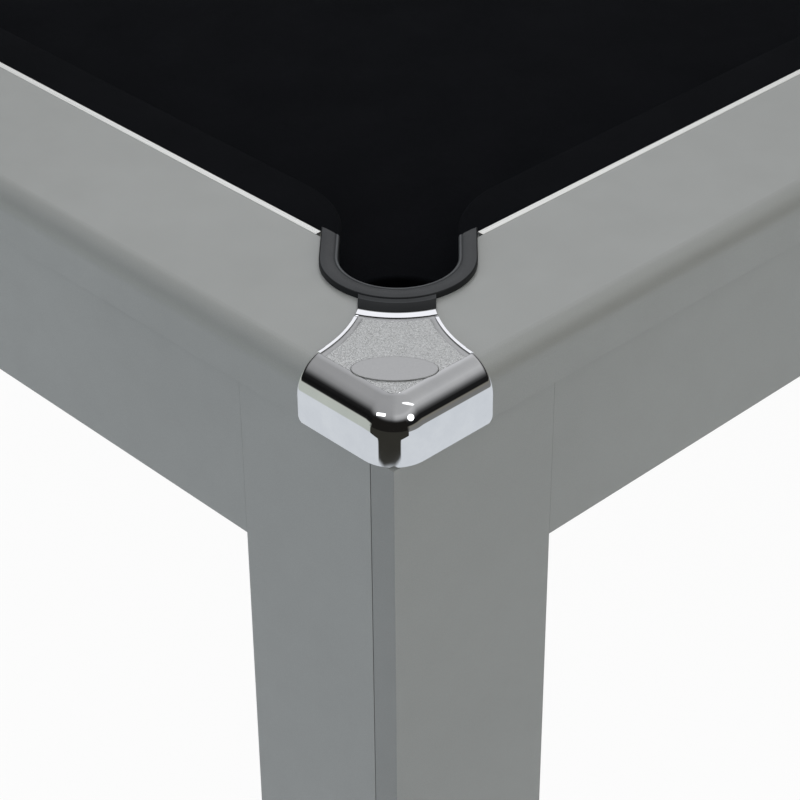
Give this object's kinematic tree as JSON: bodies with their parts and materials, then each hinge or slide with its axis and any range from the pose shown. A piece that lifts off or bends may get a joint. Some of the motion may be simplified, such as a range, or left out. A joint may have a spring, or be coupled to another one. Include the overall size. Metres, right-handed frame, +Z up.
{
  "type": "pool table",
  "caption": "Slate-bed pool table with square box legs, silver-grey rails, black cloth, drop pockets with rubber liners, chrome corner caps and screw levelling feet.",
  "frame": {"origin": "on the floor under the middle of the table", "axes": "+X along the long sides, +Y from the front long side to the back one, +Z up"},
  "size_m": [2.192, 1.277, 0.815],
  "materials": {
    "silver_board": "satin silver-grey wrapped board",
    "slate": "ground slate",
    "black_cloth": "black napped worsted cloth",
    "cushion_rubber": "gum rubber",
    "timber": "planed softwood",
    "bright_trim": "bright brushed",
    "liner_rubber": "matt moulded black rubber",
    "black_plastic": "moulded black plastic",
    "chrome": "polished chrome with a pebbled panel",
    "zinc_steel": "bright zinc plate",
    "pad_rubber": "black rubber"
  },
  "bodies": {
    "table": {"apron_back": "silver_board", "apron_front": "silver_board", "apron_left": "silver_board", "apron_right": "silver_board", "bearer_frame": "timber", "bed_cloth": "black_cloth", "cabinet_bolts": "zinc_steel", "cap_nuts": "zinc_steel", "corner_cap_back_left": "chrome", "corner_cap_back_right": "chrome", "corner_cap_front_left": "chrome", "corner_cap_front_right": "chrome", "cross_bearers": "timber", "cup_screws": "zinc_steel", "cushion_blocks": "timber", "cushion_cover_back_left": "black_cloth", "cushion_cover_back_right": "black_cloth", "cushion_cover_front_left": "black_cloth", "cushion_cover_front_right": "black_cloth", "cushion_cover_left": "black_cloth", "cushion_cover_right": "black_cloth", "cushion_rubbers": "cushion_rubber", "foot_inserts": "zinc_steel", "leg_back_left_face_board": "silver_board", "leg_back_left_side_board": "silver_board", "leg_back_right_face_board": "silver_board", "leg_back_right_side_board": "silver_board", "leg_blocks": "timber", "leg_front_left_face_board": "silver_board", "leg_front_left_side_board": "silver_board", "leg_front_right_face_board": "silver_board", "leg_front_right_side_board": "silver_board", "leg_inner_boards": "silver_board", "pocket_cup_back_left": "black_plastic", "pocket_cup_back_middle": "black_plastic", "pocket_cup_back_right": "black_plastic", "pocket_cup_front_left": "black_plastic", "pocket_cup_front_middle": "black_plastic", "pocket_cup_front_right": "black_plastic", "pocket_liner_back_left": "liner_rubber", "pocket_liner_back_middle": "liner_rubber", "pocket_liner_back_right": "liner_rubber", "pocket_liner_front_left": "liner_rubber", "pocket_liner_front_middle": "liner_rubber", "pocket_liner_front_right": "liner_rubber", "rail_back": "silver_board", "rail_bolts": "zinc_steel", "rail_front": "silver_board", "rail_left": "silver_board", "rail_right": "silver_board", "slate_bed": "slate", "trim_strips": "bright_trim"},
    "foot_pad_front_left": {"foot_pad_front_left": "pad_rubber"},
    "foot_stem_front_left": {"foot_stem_front_left": "zinc_steel"},
    "foot_pad_front_right": {"foot_pad_front_right": "pad_rubber"},
    "foot_stem_front_right": {"foot_stem_front_right": "zinc_steel"},
    "foot_pad_back_left": {"foot_pad_back_left": "pad_rubber"},
    "foot_stem_back_left": {"foot_stem_back_left": "zinc_steel"},
    "foot_pad_back_right": {"foot_pad_back_right": "pad_rubber"},
    "foot_stem_back_right": {"foot_stem_back_right": "zinc_steel"}
  },
  "joints": [
    {"name": "foot_slide_front_left", "type": "slide", "parent": "table", "child": "foot_pad_front_left", "axis": [0, 0, -1], "range_m": [0, 0.02]},
    {"name": "foot_turn_front_left", "type": "hinge", "parent": "foot_pad_front_left", "child": "foot_stem_front_left", "pos_m": [-1.014, -0.5565, 0.03], "axis": [0, 0, -1], "range_deg": [0, 3600]},
    {"name": "foot_slide_front_right", "type": "slide", "parent": "table", "child": "foot_pad_front_right", "axis": [0, 0, -1], "range_m": [0, 0.02]},
    {"name": "foot_turn_front_right", "type": "hinge", "parent": "foot_pad_front_right", "child": "foot_stem_front_right", "pos_m": [1.014, -0.5565, 0.03], "axis": [0, 0, -1], "range_deg": [0, 3600]},
    {"name": "foot_slide_back_left", "type": "slide", "parent": "table", "child": "foot_pad_back_left", "axis": [0, 0, -1], "range_m": [0, 0.02]},
    {"name": "foot_turn_back_left", "type": "hinge", "parent": "foot_pad_back_left", "child": "foot_stem_back_left", "pos_m": [-1.014, 0.5565, 0.03], "axis": [0, 0, -1], "range_deg": [0, 3600]},
    {"name": "foot_slide_back_right", "type": "slide", "parent": "table", "child": "foot_pad_back_right", "axis": [0, 0, -1], "range_m": [0, 0.02]},
    {"name": "foot_turn_back_right", "type": "hinge", "parent": "foot_pad_back_right", "child": "foot_stem_back_right", "pos_m": [1.014, 0.5565, 0.03], "axis": [0, 0, -1], "range_deg": [0, 3600]}
  ],
  "couplings": [
    {"joint": "foot_turn_front_left", "follows": "foot_slide_front_left", "rad_per_m": 3141.6},
    {"joint": "foot_turn_front_right", "follows": "foot_slide_front_right", "rad_per_m": 3141.6},
    {"joint": "foot_turn_back_left", "follows": "foot_slide_back_left", "rad_per_m": 3141.6},
    {"joint": "foot_turn_back_right", "follows": "foot_slide_back_right", "rad_per_m": 3141.6}
  ]
}
